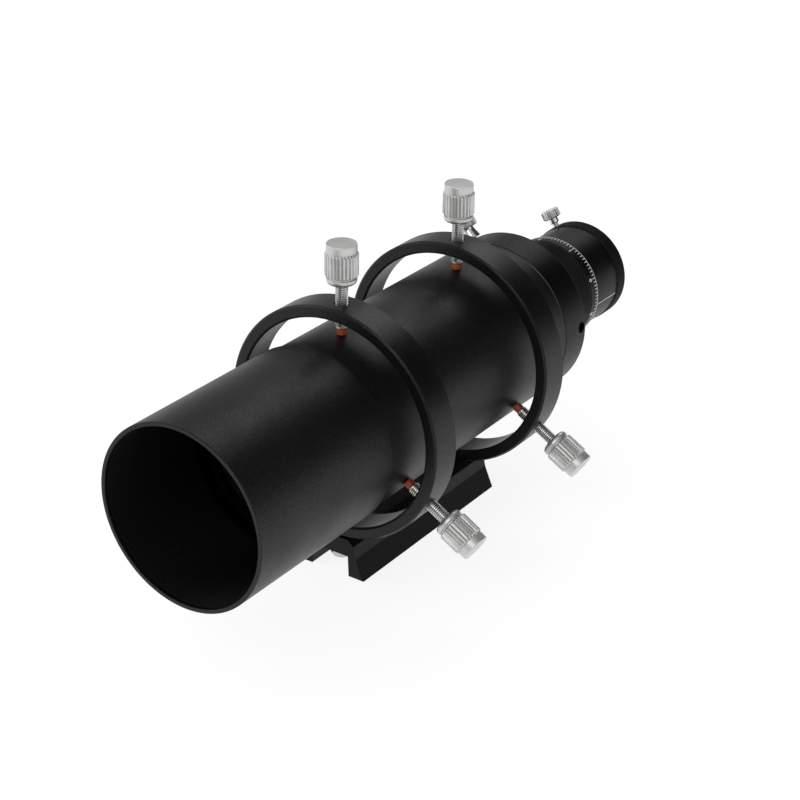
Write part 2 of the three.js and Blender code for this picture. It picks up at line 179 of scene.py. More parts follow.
world = bpy.data.worlds.new("studio")
bpy.context.scene.world = world
world.use_nodes = True
studio = world.node_tree
direction = studio.nodes.new("ShaderNodeTexCoord")
towards_card = studio.nodes.new("ShaderNodeVectorMath")
towards_card.operation = "DOT_PRODUCT"
towards_card.inputs[1].default_value = DARK_CARD
card = studio.nodes.new("ShaderNodeValToRGB")
for stop, at, grey in zip(card.color_ramp.elements, (CARD_EDGE, CARD_MIDDLE), (ROOM_BRIGHT, ROOM_DARK)):
    stop.position, stop.color = at, (grey, grey, grey, 1)
studio.links.new(direction.outputs["Generated"], towards_card.inputs[0])
studio.links.new(towards_card.outputs["Value"], card.inputs["Fac"])
studio.links.new(card.outputs["Color"], studio.nodes["Background"].inputs["Color"])
studio.nodes["Background"].inputs["Strength"].default_value = ROOM_STRENGTH
bpy.context.scene.view_settings.view_transform = "Standard"
print("surroundings:", len(studio.nodes), "nodes")

# %% [markdown]
# ## Finishes
# Bead-blasted aluminium that has been dyed black has a fine sandy grain: each tiny dent tips the surface a
# little, so highlights break up instead of shining. The grain is made with noise whose largest lumps are
# about 0.4 mm wide: once in the bump, and once in the colour and the specular level, so that single grains
# glint. Clouds a centimetre or two wide vary the roughness. A cast or painted look would need larger lumps
# in the bump. Bright metal has faint tool marks, thread roots are darkened with painted shade, and nylon is
# mottled.


# %% Noise helpers
def new_finish(name, colour, roughness, metallic):
    """A material with its shader and the coordinates that its textures share."""
    material = bpy.data.materials.new(name)
    material.use_nodes = True
    tree = material.node_tree
    shader = tree.nodes["Principled BSDF"]
    shader.inputs["Base Color"].default_value = (*colour, 1)
    shader.inputs["Roughness"].default_value = roughness
    shader.inputs["Metallic"].default_value = metallic
    coordinates = tree.nodes.new("ShaderNodeTexCoord").outputs["Object"]
    return material, tree, shader, coordinates


def noise(tree, coordinates, scale, detail=2.0, stretch=(1, 1, 1)):
    """Noise whose scale is in features per metre, stretched along an axis if asked."""
    mapping = tree.nodes.new("ShaderNodeMapping")
    mapping.inputs["Scale"].default_value = stretch
    texture = tree.nodes.new("ShaderNodeTexNoise")
    texture.inputs["Scale"].default_value = scale
    texture.inputs["Detail"].default_value = detail
    tree.links.new(coordinates, mapping.inputs["Vector"])
    tree.links.new(mapping.outputs["Vector"], texture.inputs["Vector"])
    return texture.outputs["Fac"]


def between(tree, value, low, high, start=0.3, end=0.7):
    """Spread a value over a range. A noise value sits mostly between 0.3 and 0.7."""
    spread = tree.nodes.new("ShaderNodeMapRange")
    spread.inputs["From Min"].default_value, spread.inputs["From Max"].default_value = start, end
    spread.inputs["To Min"].default_value, spread.inputs["To Max"].default_value = low, high
    tree.links.new(value, spread.inputs["Value"])
    return spread.outputs["Result"]


def tint(tree, value, dark, light, start=0.3, end=0.7):
    """Mix two colours by a noise value."""
    mix = tree.nodes.new("ShaderNodeMix")
    mix.data_type = "RGBA"
    mix.inputs[6].default_value, mix.inputs[7].default_value = (*dark, 1), (*light, 1)
    tree.links.new(between(tree, value, 0, 1, start, end), mix.inputs[0])
    return mix.outputs[2]


def bump(tree, shader, height, strength, distance):
    """Tip the surface by a height value; distance is the depth of the relief in metres."""
    node = tree.nodes.new("ShaderNodeBump")
    node.inputs["Strength"].default_value, node.inputs["Distance"].default_value = strength, distance
    tree.links.new(height, node.inputs["Height"])
    tree.links.new(node.outputs["Normal"], shader.inputs["Normal"])


# %% Black metal
def blasted_black(name, dark, light, roughness, grain=0.5, shine=0.35):
    """Dyed aluminium with the sandy grain of bead blasting."""
    material, tree, shader, coordinates = new_finish(name, light, 0.5, 0.0)
    beads = noise(tree, coordinates, 2400, 6)
    clouds = noise(tree, coordinates, 60, 3)
    patches = noise(tree, coordinates, 2400, 2)
    tree.links.new(tint(tree, patches, dark, light), shader.inputs["Base Color"])
    tree.links.new(between(tree, clouds, roughness - 0.03, roughness + 0.04), shader.inputs["Roughness"])
    shader.inputs["IOR"].default_value = 1.45
    tree.links.new(between(tree, patches, 0.6 * shine, 1.4 * shine), shader.inputs["Specular IOR Level"])
    bump(tree, shader, beads, grain, 0.00012)
    return material


satin_black = blasted_black("satin_black", (0.0008, 0.0008, 0.0009), (0.006, 0.006, 0.0063), 0.42, 0.6, 0.32)
ring_black = blasted_black("ring_black", (0.0012, 0.0012, 0.0013), (0.004, 0.004, 0.0042), 0.36, 0.35, 0.3)
bar_black = blasted_black("bar_black", (0.0008, 0.0008, 0.0008), (0.003, 0.003, 0.0031), 0.42, 0.4, 0.2)
# A darker, less shiny copy of satin_black: painted shade for the light that falls off on the rear pieces.
rear_black_painted_shade = blasted_black("rear_black_painted_shade", (0.0008, 0.0008, 0.0008), (0.0035, 0.0035, 0.0036), 0.36, 0.4, 0.17)
inside_black = blasted_black("inside_black", (0.0004, 0.0004, 0.0004), (0.0012, 0.0012, 0.0012), 0.6, 0.3,
                             0.13)
# Partly the real flat black, partly painted shade: darker and less shiny than the other blacks, for pieces deep in
# the tube.
deep_black_painted_shade = blasted_black("deep_black_painted_shade", (0.0002, 0.0002, 0.0002), (0.0006, 0.0006, 0.0006), 0.75, 0.3, 0.01)
matte_black = blasted_black("matte_black", (0.002, 0.002, 0.002), (0.005, 0.005, 0.005), 0.6, 0.6, 0.1)
# Painted highlight: a lighter, shinier black that stands in for the thin line of light round the adapter's seam.
painted_seam_highlight = blasted_black("painted_seam_highlight", (0.02, 0.02, 0.02), (0.05, 0.05, 0.05), 0.35, 0.2, 0.6)
print("black finishes: 8")


# %% Bright metal
MARK_SCALE, MARK_DEPTH = 2500, 0.000004


def turned_metal(name, dark, light, roughness):
    """Metal with faint tool marks and a slightly uneven shine."""
    material, tree, shader, coordinates = new_finish(name, light, roughness, 1.0)
    marks = noise(tree, coordinates, MARK_SCALE, 2)
    clouds = noise(tree, coordinates, 160, 2)
    tree.links.new(tint(tree, clouds, dark, light), shader.inputs["Base Color"])
    tree.links.new(between(tree, marks, roughness - 0.04, roughness + 0.06), shader.inputs["Roughness"])
    bump(tree, shader, marks, 0.4, MARK_DEPTH)
    return material


satin_silver = turned_metal("satin_silver", (0.57, 0.565, 0.56), (0.67, 0.665, 0.66), 0.44)
chrome = turned_metal("chrome", (0.74, 0.74, 0.74), (0.85, 0.85, 0.85), 0.2)
bolt_steel = turned_metal("bolt_steel", (0.45, 0.45, 0.44), (0.6, 0.6, 0.59), 0.28)
brass = turned_metal("brass", (0.5, 0.34, 0.12), (0.66, 0.48, 0.18), 0.3)
print("bright finishes: 4")


# %% Screw threads
# Where the surface is less pointed than ROOT_POINTINESS, the root colour is painted shade in the thread's hollows.
ROOT_POINTINESS, CREST_POINTINESS = 0.44, 0.56  # 0.5 is flat


def dirty_thread(name, crest_colour, root_shade_colour, roughness):
    """Bright thread crests over roots darkened with painted shade."""
    material, tree, shader, coordinates = new_finish(name, crest_colour, roughness, 1.0)
    edge = tree.nodes.new("ShaderNodeNewGeometry").outputs["Pointiness"]
    colour = tint(tree, edge, root_shade_colour, crest_colour, ROOT_POINTINESS, CREST_POINTINESS)
    tree.links.new(colour, shader.inputs["Base Color"])
    bump(tree, shader, noise(tree, coordinates, MARK_SCALE, 2), 0.4, MARK_DEPTH)
    return material


# The dark root colour is painted shade.
thread_steel = dirty_thread("thread_steel", (0.85, 0.85, 0.84), (0.22, 0.215, 0.21), 0.3)
print("thread finish: bright crests, dark roots")


# %% Nylon, glass and white print
def nylon(name, dark, light):
    """Moulded nylon, with a faintly uneven skin."""
    material, tree, shader, coordinates = new_finish(name, light, 0.45, 0.0)
    mottle = noise(tree, coordinates, 900, 3)
    tree.links.new(tint(tree, mottle, dark, light), shader.inputs["Base Color"])
    tree.links.new(between(tree, mottle, 0.38, 0.52), shader.inputs["Roughness"])
    bump(tree, shader, mottle, 0.3, 0.00001)
    return material


orange_nylon = nylon("orange_nylon", (0.32, 0.045, 0.01), (0.48, 0.085, 0.02))
white_nylon = nylon("white_nylon", (0.68, 0.66, 0.6), (0.8, 0.78, 0.72))


def coated_glass():
    """Optical glass with the faint green cast of a coating, tinted dark as painted shade."""
    # The dark base colour is painted shade for the black tube seen through the lens; the green is the coating's.
    material, tree, shader, coordinates = new_finish("coated_glass", (0.08, 0.1, 0.09), 0.02, 0.0)
    haze = noise(tree, coordinates, 40, 2)
    tree.links.new(between(tree, haze, 0.005, 0.03), shader.inputs["Roughness"])
    shader.inputs["Transmission Weight"].default_value = 1.0
    shader.inputs["IOR"].default_value = 1.5
    shader.inputs["Specular IOR Level"].default_value = 0.25
    return material


def printed_white():
    """Screen-printed ink, flat white with a slightly broken surface."""
    material, tree, shader, coordinates = new_finish("printed_white", (0.8, 0.8, 0.8), 0.55, 0.0)
    ink = noise(tree, coordinates, 3000, 2)
    tree.links.new(tint(tree, ink, (0.66, 0.66, 0.66), (0.86, 0.86, 0.86)), shader.inputs["Base Color"])
    bump(tree, shader, ink, 0.2, 0.00001)
    return material


glass, ink_white = coated_glass(), printed_white()
print("nylon, glass and ink: 4")

# %% [markdown]
# ## Turned pieces
# Nearly everything on a scope is made on a lathe: a section is drawn once and swept round an axis. The
# section is a list of corners, each a distance along the axis and a radius. No real edge is perfectly
# sharp, so every corner is eased by a few short steps, and that thin band is what catches the light and
# draws the bright lines round each rim. A modifier that weights the shading by area keeps the flats flat.

# %% Sections
FINE, MEDIUM, SMALL = 224, 96, 40  # sides of large, middling and small turned pieces
EDGE_SHARE, NEARLY_STRAIGHT = 0.4, math.radians(165)


def ease(section, size, steps=3, closed=True):
    """Round the corners of a section. A corner is (distance, radius) or (distance, ridge, groove), in mm."""
    corners = [Vector((c[0], c[1], c[-1])) for c in section]
    eased = []
    for i, corner in enumerate(corners):
        before, after = corners[i - 1] - corner, corners[(i + 1) % len(corners)] - corner
        cut = min(size, EDGE_SHARE * before.length, EDGE_SHARE * after.length)
        at_end = not closed and i in (0, len(corners) - 1)
        if at_end or corner.y < 1e-6 or before.angle(after) > NEARLY_STRAIGHT:
            eased.append(corner)
            continue
        first, last = corner + before.normalized() * cut, corner + after.normalized() * cut
        for k in range(steps + 1):
            t = k / steps
            eased.append(first * (1 - t) ** 2 + corner * (2 * t * (1 - t)) + last * t ** 2)
    return eased


def even_columns(count):
    """Angles round a plain piece, none of them in a groove."""
    return [(math.tau * i / count, 0.0) for i in range(count)]


def fluted_columns(flutes, groove_half=0.3, shoulder=0.07):
    """Angles round a piece with straight grooves, each with its share of the groove's depth."""
    steps = [(-0.5, 0.0), (-groove_half - shoulder, 0.0), (-groove_half, 0.18), (0.0, 1.0),
             (groove_half, 0.18), (groove_half + shoulder, 0.0)]
    return [(math.tau * (i + at) / flutes, depth) for i in range(flutes) for at, depth in steps]


# %% Sweeping a section round an axis
KNURL_DEPTH = 0.26


def spin(section, columns, seam=0, closed=True, split=()):
    """Sweep a section round local Z and return the mesh.

    With a seam, the rows climb like a thread. In the rows of split, every second point lies deeper.
    """
    count, made = len(columns), bmesh.new()
    rows = []
    for k, (distance, ridge, groove) in enumerate(section):
        row = []
        for c, (angle, depth) in enumerate(columns):
            where = distance(c / count) if callable(distance) else distance
            radius = ridge(where) if callable(ridge) else ridge + (groove - ridge) * depth
            if k in split and (k + c) % 2:
                radius -= KNURL_DEPTH
            point = (radius * math.cos(angle) * MM, radius * math.sin(angle) * MM, where * MM)
            row.append(made.verts.new(point))
        rows.append(row)
    last = len(rows) if closed else len(rows) - 1
    for k in range(last):
        for c in range(count):
            here, there, shift = c, (c + 1) % count, seam if c == count - 1 else 0
            if k + shift + 1 >= len(rows) and seam:
                continue
            low, high = rows[k], rows[(k + 1) % len(rows)]
            low_next, high_next = rows[(k + shift) % len(rows)], rows[(k + shift + 1) % len(rows)]
            corners = [low[here], low_next[there], high_next[there], high[here]]
            if k in split and k + 1 in split:
                turn = (k + c + 1) % 2
                corners = corners[turn:] + corners[:turn]
                made.faces.new((corners[0], corners[1], corners[2]))
                made.faces.new((corners[0], corners[2], corners[3]))
            else:
                made.faces.new(corners)
    bmesh.ops.remove_doubles(made, verts=made.verts, dist=1e-7)
    open_edges = [edge for edge in made.edges if edge.is_boundary]
    if open_edges:
        bmesh.ops.holes_fill(made, edges=open_edges, sides=0)
    return made


# %% [markdown]
# ## Placing and cutting
# Screws and holes all point at the optical axis, so each piece is made upright on an axis of its own and then
# stood in a space: one runs back along the tube, and the others point away from it. Holes could be woven into
# the mesh by hand. Cutting them with a Boolean is simpler and works as a drill does, and the cut is applied
# at once, so the mesh that is left is the finished one.

# %% Placing
# The local Z of a piece in this space runs back along the tube, so its distances are stations.
SCOPE_SPACE = Matrix.Translation(AXIS) @ Matrix(((1, 0, 0), (0, 0, 1), (0, -1, 0))).to_4x4()


def radial_space(outward, across):
    """A space whose Z points away from the optical axis, at a distance across the part in metres."""
    along = Vector((0, 1, 0))
    side = along.cross(outward)
    turn = Matrix((side, along, outward)).transposed().to_4x4()
    return Matrix.Translation((AXIS.x, across, AXIS.z)) @ turn


def screw_space(joint_name):
    """Where a screw stands, from the joint that it turns on."""
    joint = JOINTS[joint_name]
    return radial_space(Vector(joint["axis"]).normalized(), joint["pos_m"][1])


def place(name, made, space, material):
    """Turn a mesh in the making into an object that stands in its space."""
    bmesh.ops.recalc_face_normals(made, faces=made.faces)
    if made.calc_volume(signed=True) < 0:
        bmesh.ops.reverse_faces(made, faces=made.faces)
    mesh = bpy.data.meshes.new(name)
    made.to_mesh(mesh)
    made.free()
    piece = bpy.data.objects.new(name, mesh)
    bpy.context.scene.collection.objects.link(piece)
    piece.matrix_world = space
    mesh.materials.append(material)
    return piece


# %% Standing for a node
def settle(piece, *nodes, sharp=38):
    """Shade a finished piece, and let it stand for its nodes and ride on their body."""
    mesh = piece.data
    mesh.shade_smooth()
    mesh.set_sharp_from_angle(angle=math.radians(sharp))
    weigh = piece.modifiers.new("flat_faces_stay_flat", "WEIGHTED_NORMAL")
    weigh.keep_sharp = True
    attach(piece, BODY_OF[nodes[0]])
    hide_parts(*nodes)
    print(piece.name, "faces:", len(mesh.polygons))


# %% Cutting
COUNTERSINK, DRILL_SIDES = 0.6, 48


def cut_away(piece, made, space):
    """Cut a shape out of a piece for good, as a drill or a milling cutter does."""
    tool = place("cutter", made, space, piece.data.materials[0])
    cut = piece.modifiers.new("cut", "BOOLEAN")
    cut.operation, cut.solver, cut.object = "DIFFERENCE", "EXACT", tool
    bpy.context.view_layer.update()
    graph = bpy.context.evaluated_depsgraph_get()
    finished = bpy.data.meshes.new_from_object(piece.evaluated_get(graph))
    piece.modifiers.remove(cut)
    old, piece.data = piece.data, finished
    bpy.data.meshes.remove(old)
    bpy.data.objects.remove(tool)


def drill(radius, start, end, mouth=None):
    """A drill along Z. A mouth is the distance at which it starts to flare into a small countersink."""
    section = [(start, 0), (start, radius)]
    if mouth:
        end = mouth + COUNTERSINK
        section += [(mouth, radius), (end, radius + COUNTERSINK)]
    else:
        section += [(end, radius)]
    section += [(end, 0)]
    return spin([(at, r, r) for at, r in section], even_columns(DRILL_SIDES))


def block(middle, size, turn=0.0):
    """A milling cutter: a box in mm, turned round Z."""
    made = bmesh.new()
    bmesh.ops.create_cube(made, size=1, matrix=Matrix.Rotation(turn, 4, "Z") @ Matrix.LocRotScale(
        Vector(middle) * MM, None, Vector(size) * MM))
    return made


# %% Turned pieces and second finishes
def second_finish(piece, material, covers):
    """Give another finish to the faces whose station and radius, in mm, pass a test."""
    piece.data.materials.append(material)
    index = len(piece.data.materials) - 1
    for face in piece.data.polygons:
        if covers(face.center.z / MM, math.hypot(face.center.x, face.center.y) / MM):
            face.material_index = index


def scope_piece(name, section, material, easing=0.25, steps=3):
    """A piece turned round the optical axis, from corners of (station, radius)."""
    rows = ease(section, easing, steps)
    return place(name, spin(rows, even_columns(FINE)), SCOPE_SPACE, material)


# %% [markdown]
# ## Dew shield and main tube
# The dew shield is a thin tube that slides over the main tube. It keeps dew and stray light off the lens,
# and its inside is turned with a fine thread for that: light that grazes a smooth wall would bounce into
# the view, while a ribbed wall throws it back out. The ribs are real steps in the section, one every
# 0.8 mm.

# %% Dew shield
shield_start, shield_end, shield_radius = (round(v / MM, 3) for v in span("dew_shield"))
tube_start, tube_end, tube_radius = (round(v / MM, 3) for v in span("main_tube"))
LIP, RIB, RIB_DEPTH, SKIRT_GAP = 1.9, 0.8, 0.22, 0.3
shield_bore = shield_radius - LIP
skirt_start = tube_start - 0.5

ribs = []
rib_at = skirt_start - 9.5
while rib_at > 1.6:
    ribs += [(rib_at, shield_bore), (rib_at - RIB * 0.5, shield_bore + RIB_DEPTH)]
    rib_at -= RIB
shield_section = ease([
    (shield_start, shield_bore + 0.1), (shield_start, shield_radius), (shield_end, shield_radius),
    (shield_end, tube_radius + SKIRT_GAP), (skirt_start, tube_radius + SKIRT_GAP), (skirt_start, shield_bore),
], 0.4)
shield_mesh = spin([*shield_section, *[Vector((at, r, r)) for at, r in ribs]], even_columns(FINE))
dew_shield = place("dew_shield_shell", shield_mesh, SCOPE_SPACE, satin_black)
second_finish(dew_shield, inside_black, lambda station, radius: station > 1.2 and radius < shield_radius - 1)
settle(dew_shield, "dew_shield", sharp=30)

# %% Main tube
TUBE_WALL = 2
tube = scope_piece("main_tube_shell", [
    (tube_start, tube_radius), (tube_end, tube_radius), (tube_end, tube_radius - TUBE_WALL),
    (tube_start, tube_radius - TUBE_WALL),
], satin_black, easing=0.3)
# The bore gets the deepest black, partly painted shade for the inside of the tube.
second_finish(tube, deep_black_painted_shade, lambda station, radius: radius < tube_radius - 1)
settle(tube, "main_tube")

# %% [markdown]
# ## Objective
# The lens is a cemented-looking pair: a clear crown in front and a flint behind it, with a thin spacer
# between them. A threaded ring with two slots for a spanner holds them in a black cell. Each face is part
# of a sphere, so its section is sampled from the sphere and not from a few flats, and the coating gives
# the glass a faint green cast. The glass is also tinted dark: painted shade for the black tube seen through it.


# %% Lenses
def sphere_face(curve, rim_radius, rim_station, bulge, rings=20):
    """Points from the axis to the rim of a spherical face, which bulges backwards if bulge is 1."""
    edge = math.sqrt(curve ** 2 - rim_radius ** 2)
    out = []
    for i in range(rings + 1):
        radius = rim_radius * i / rings
        out.append((rim_station + bulge * (math.sqrt(curve ** 2 - radius ** 2) - edge), radius))
    return out


FRONT_CURVE, INNER_CURVE, REAR_CURVE = 150, 112, 520
crown_start, crown_end, lens_radius = (v / MM for v in span("crown_lens"))
flint_start, flint_end, _ = (v / MM for v in span("flint_lens"))


def sag(curve):
    return curve - math.sqrt(curve ** 2 - lens_radius ** 2)


crown_front, crown_rear = crown_start + sag(FRONT_CURVE), crown_end - sag(INNER_CURVE)
flint_rear = flint_end - sag(REAR_CURVE)
for name, front, rear in (
    ("crown", sphere_face(FRONT_CURVE, lens_radius, crown_front, -1),
     sphere_face(INNER_CURVE, lens_radius, crown_rear, 1)),
    ("flint", sphere_face(INNER_CURVE, lens_radius, flint_start, 1),
     sphere_face(REAR_CURVE, lens_radius, flint_rear, 1)),
):
    rows = [Vector((at, r, r)) for at, r in [*front, *reversed(rear)]]
    lens = place(name + "_glass", spin(rows, even_columns(MEDIUM), closed=False), SCOPE_SPACE, glass)
    settle(lens, name + "_lens", sharp=25)

# %% Cell, retaining ring and spacer
cell_start, cell_end, cell_radius = (v / MM for v in span("objective_cell"))
hold_start, hold_end, hold_radius = (v / MM for v in span("lens_retaining_ring"))
gap_start, gap_end, gap_radius = (v / MM for v in span("lens_spacer"))
CLEAR = 29.6
body_radius, seat = tube_radius - TUBE_WALL - 0.35, cell_end - 3
cell = scope_piece("lens_cell", [
    (cell_end, body_radius), (cell_end, CLEAR), (seat, CLEAR), (seat, lens_radius + 0.3),
    (cell_start, lens_radius + 0.3), (cell_start, cell_radius), (tube_start - 1, cell_radius),
    (tube_start - 1, body_radius),
], deep_black_painted_shade, easing=0.2)
settle(cell, "objective_cell")

hold_rows = ease([(hold_start, hold_radius), (hold_end, hold_radius), (hold_end, CLEAR + 0.2),
                  (hold_start, CLEAR - 0.2)], 0.2)
retainer = place("lens_retainer", spin(hold_rows, even_columns(FINE)), SCOPE_SPACE, inside_black)
for turn in (0, math.pi):
    cut_away(retainer, block((CLEAR + 1.2, 0, hold_start), (4, 1.6, 2.4), turn), SCOPE_SPACE)
settle(retainer, "lens_retaining_ring")

spacer = scope_piece("lens_gap_ring", [
    (gap_start, gap_radius), (gap_end, gap_radius), (gap_end, gap_radius - 1), (gap_start, gap_radius - 1),
], deep_black_painted_shade, easing=0.1)
settle(spacer, "lens_spacer")

# %% Baffles
BAFFLE_OPENINGS = {"front_baffle": 25.5, "rear_baffle": 20.5}
for node, opening in BAFFLE_OPENINGS.items():
    start, end, radius = (v / MM for v in span(node))
    disc = scope_piece(node + "_disc", [
        (start, radius), (end, radius), (end, radius - 1.2), (start + 1, radius - 1.2),
        (start + 0.4, opening), (start, opening),
    ], deep_black_painted_shade, easing=0.12)
    settle(disc, node)

# %% [markdown]
# ## Guide rings
# Each ring is a slice of thick tube with a small chamfer round every edge. Three holes pass through it for
# the thumbscrews, and the bottom is milled flat to sit on the bar. The holes are cut with the same tools a
# workshop would use: a drill, then a slightly wider countersink that breaks the edge.

# %% Rings
RING_CHAMFER, RING_BORE, STEM_HOLE, BOLT_HOLE = 0.8, 44.9, 2.9, 2.85
SIDES_OF_RING = ("top", "right", "left")
for end in ("front", "rear"):
    low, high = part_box(end + "_ring")
    front, rear = (low.y - AXIS.y) / MM, (high.y - AXIS.y) / MM
    radius, flat = (high.x - low.x) / 2 / MM, (AXIS.z - low.z) / MM
    section = [
        (rear - RING_CHAMFER, radius), (rear, radius - RING_CHAMFER), (rear, RING_BORE + RING_CHAMFER),
        (rear - RING_CHAMFER, RING_BORE), (front + RING_CHAMFER, RING_BORE),
        (front, RING_BORE + RING_CHAMFER), (front, radius - RING_CHAMFER), (front + RING_CHAMFER, radius),
    ]
    ring = scope_piece(end + "_guide_ring", section, ring_black, easing=0.08, steps=2)
    for vertex in ring.data.vertices:
        vertex.co.y = min(vertex.co.y, flat * MM)
    for side in SIDES_OF_RING:
        cut_away(ring, drill(STEM_HOLE, RING_BORE - 3, radius + 1, mouth=radius - 0.35),
                 screw_space(f"{end}_{side}_screw_turn"))
    below = radial_space(Vector((0, 0, -1)), (low.y + high.y) / 2)
    cut_away(ring, drill(BOLT_HOLE, RING_BORE - 3, radius + 1), below)
    settle(ring, end + "_ring")

# %% [markdown]
# ## Dovetail bar
# The bar is an aluminium extrusion cut to length: a dovetail foot that slides into a shoe, a shoulder, and a
# channel underneath that hides the bolt heads. An extrusion has fine lengthwise lines from its die, and its
# sawn ends are milled flat. The section is drawn once and pulled along, then every long edge is bevelled.

# %% Bar
bar_low, bar_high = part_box("dovetail_bar")
TOP_HALF, SHOULDER_HALF, FLANK_HALF, CHANNEL_HALF = 8.8, 11.8, 12.5, 9.2
SHOULDER, FLANK, CEILING = 14.7, 9.0, 9.6
foot_half, bar_top = (bar_high.x - bar_low.x) / 2 / MM, (bar_high.z - bar_low.z) / MM
half_section = [(TOP_HALF, bar_top), (SHOULDER_HALF, SHOULDER), (FLANK_HALF, FLANK), (foot_half, 0),
                (CHANNEL_HALF, 0), (CHANNEL_HALF, CEILING)]
bar_section = [*half_section, *[(-x, z) for x, z in reversed(half_section)]]
bar_mesh = bmesh.new()
ends = [[bar_mesh.verts.new((x * MM, y, z * MM + bar_low.z)) for x, z in bar_section]
        for y in (bar_low.y, bar_high.y)]
for i in range(len(bar_section)):
    j = (i + 1) % len(bar_section)
    bar_mesh.faces.new((ends[0][i], ends[0][j], ends[1][j], ends[1][i]))
bar_mesh.faces.new(ends[0])
bar_mesh.faces.new(reversed(ends[1]))
bmesh.ops.bevel(bar_mesh, geom=bar_mesh.edges[:], offset=0.28 * MM, segments=3, affect="EDGES", profile=0.6)
bar = place("dovetail_extrusion", bar_mesh, Matrix.Identity(4), bar_black)
for end in ("front", "rear"):
    low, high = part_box(end + "_ring")
    cut_away(bar, drill(BOLT_HOLE, RING_BORE, (AXIS.z - bar_low.z) / MM - CEILING + 1),
             radial_space(Vector((0, 0, -1)), (low.y + high.y) / 2))
settle(bar, "dovetail_bar")

# %% [markdown]
# ## Bolts under the rings
# One bolt from below holds each ring, and its tall rounded head stands in the bar's channel. A head like this
# is turned, so it is a section swept round the bolt's axis, and the socket for a hexagon key is cut into it.
# The shank is a plain cylinder: its thread is hidden in the bar and the ring.

# %% Bolts
KEY_RADIUS, KEY_DEPTH, SHANK, HEAD_HEIGHT = 1.75, 2.5, 2.5, 6.2
DOME, CROWN, CROWN_IN, FACE_IN = 2.4, 0.9, 0.8, 2.2  # heights above the head's foot, and steps inwards


def hex_key(start, end, radius):
    """A six-sided key along Z."""
    return spin([(start, 0, 0), (start, radius, radius), (end, radius, radius), (end, 0, 0)], even_columns(6))


for end in ("front", "rear"):
    low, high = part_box(end + "_ring_bolt")
    tip, foot = (AXIS.z - high.z) / MM, (AXIS.z - low.z) / MM
    head = (high.x - low.x) / 2 / MM
    seat_at = foot - HEAD_HEIGHT
    rows = ease([(tip, 0), (tip, SHANK), (seat_at, SHANK), (seat_at, head), (foot - DOME, head),
                 (foot - CROWN, head - CROWN_IN), (foot, head - FACE_IN), (foot, 0)], 0.5, 4)
    space = radial_space(Vector((0, 0, -1)), (low.y + high.y) / 2)
    bolt = place(end + "_button_bolt", spin(rows, even_columns(MEDIUM), closed=False), space, bolt_steel)
    cut_away(bolt, hex_key(foot - KEY_DEPTH, foot + 1, KEY_RADIUS), space)
    settle(bolt, end + "_ring_bolt")

# %% [markdown]
# ## Thumbscrews
# Six silver thumbscrews hold and aim the tube. Each has a knob with straight flutes between a smooth cap and
# a rounded collar, a steel thread, and a nylon pad that keeps the steel off the tube's finish. The thread is
# a true right-handed helix: its rows of points climb by one pitch each turn, and the ends are turned down to
# the root so that they close cleanly.


# %% Threads
THREAD_DEPTH = 0.55  # share of the pitch


def thread(crest, root, pitch, start, end):
    """Rows of a right-handed thread along Z. Each is a distance that depends on the angle, and a radius."""
    per_turn = [(0.0, root), (0.3, crest), (0.5, crest), (0.8, root)]
    rows, first = [], start - 2 * pitch
    for k in range(int((end - start) / pitch + 4) * len(per_turn)):
        share, reach = per_turn[k % len(per_turn)]
        base = first + (k // len(per_turn) + share) * pitch

        def climb(turned, base=base):
            return min(max(base + turned * pitch, start), end)

        def height(where, reach=reach):
            return min(reach, root + min(where - start, end - where) * 1.2)

        rows.append((climb, height, 0))
    return rows


def threaded_rod(name, crest, pitch, start, end, space, material):
    """A threaded rod along Z. The seam joins each row to the one four on, which is a pitch further."""
    rows = thread(crest, crest - THREAD_DEPTH * pitch, pitch, start, end)
    return place(name, spin(rows, even_columns(SMALL), seam=4, closed=False), space, material)


# %% Knobs, stems and pads
KNOB_RIM, KNOB_RADIUS, GROOVE = 6.1, 6.7, 6.12
COLLAR, GRIP, KNOB_FLUTES = 3.1, 10.0, 28
M5_PITCH, M4_PITCH, M3_PITCH = 0.8, 0.7, 0.5
STEM_RADIUS, PAD_RADIUS, KNOB_BORE = 2.55, 2.0, 2.85


def knob_rows(start, end):
    """Corners of a knob from its inner face to its outer face."""
    grip_start, grip_end = start + COLLAR, start + COLLAR + GRIP
    inner = ease([(start, 0), (start, 4.6), (start + 0.5, 5.7), (start + 1.3, KNOB_RIM),
                  (grip_start - 0.5, KNOB_RIM), (grip_start - 0.4, KNOB_RIM - 0.55),
                  (grip_start + 0.15, KNOB_RIM - 0.55)], 0.3, closed=False)
    grip = [Vector(row) for row in (
        (grip_start + 0.2, KNOB_RIM, KNOB_RIM - 0.2), (grip_start + 0.75, KNOB_RADIUS, GROOVE),
        (grip_end - 0.75, KNOB_RADIUS, GROOVE), (grip_end - 0.2, KNOB_RIM + 0.1, KNOB_RIM - 0.2))]
    outer = ease([(grip_end, KNOB_RIM - 0.15), (grip_end + 0.2, KNOB_RIM), (end, KNOB_RIM),
                  (end, KNOB_RIM - 0.8), (end, 0)], 0.4, closed=False)
    return [*inner, *grip, *outer]


def along_screw(node, space):
    """Nearest and farthest distance of a node from the optical axis, along its screw, in mm."""
    inwards = space.inverted()
    corners = [inwards @ Vector(v.co) for v in frame["nodes"][node].data.vertices]
    return min(c.z for c in corners) / MM, max(c.z for c in corners) / MM


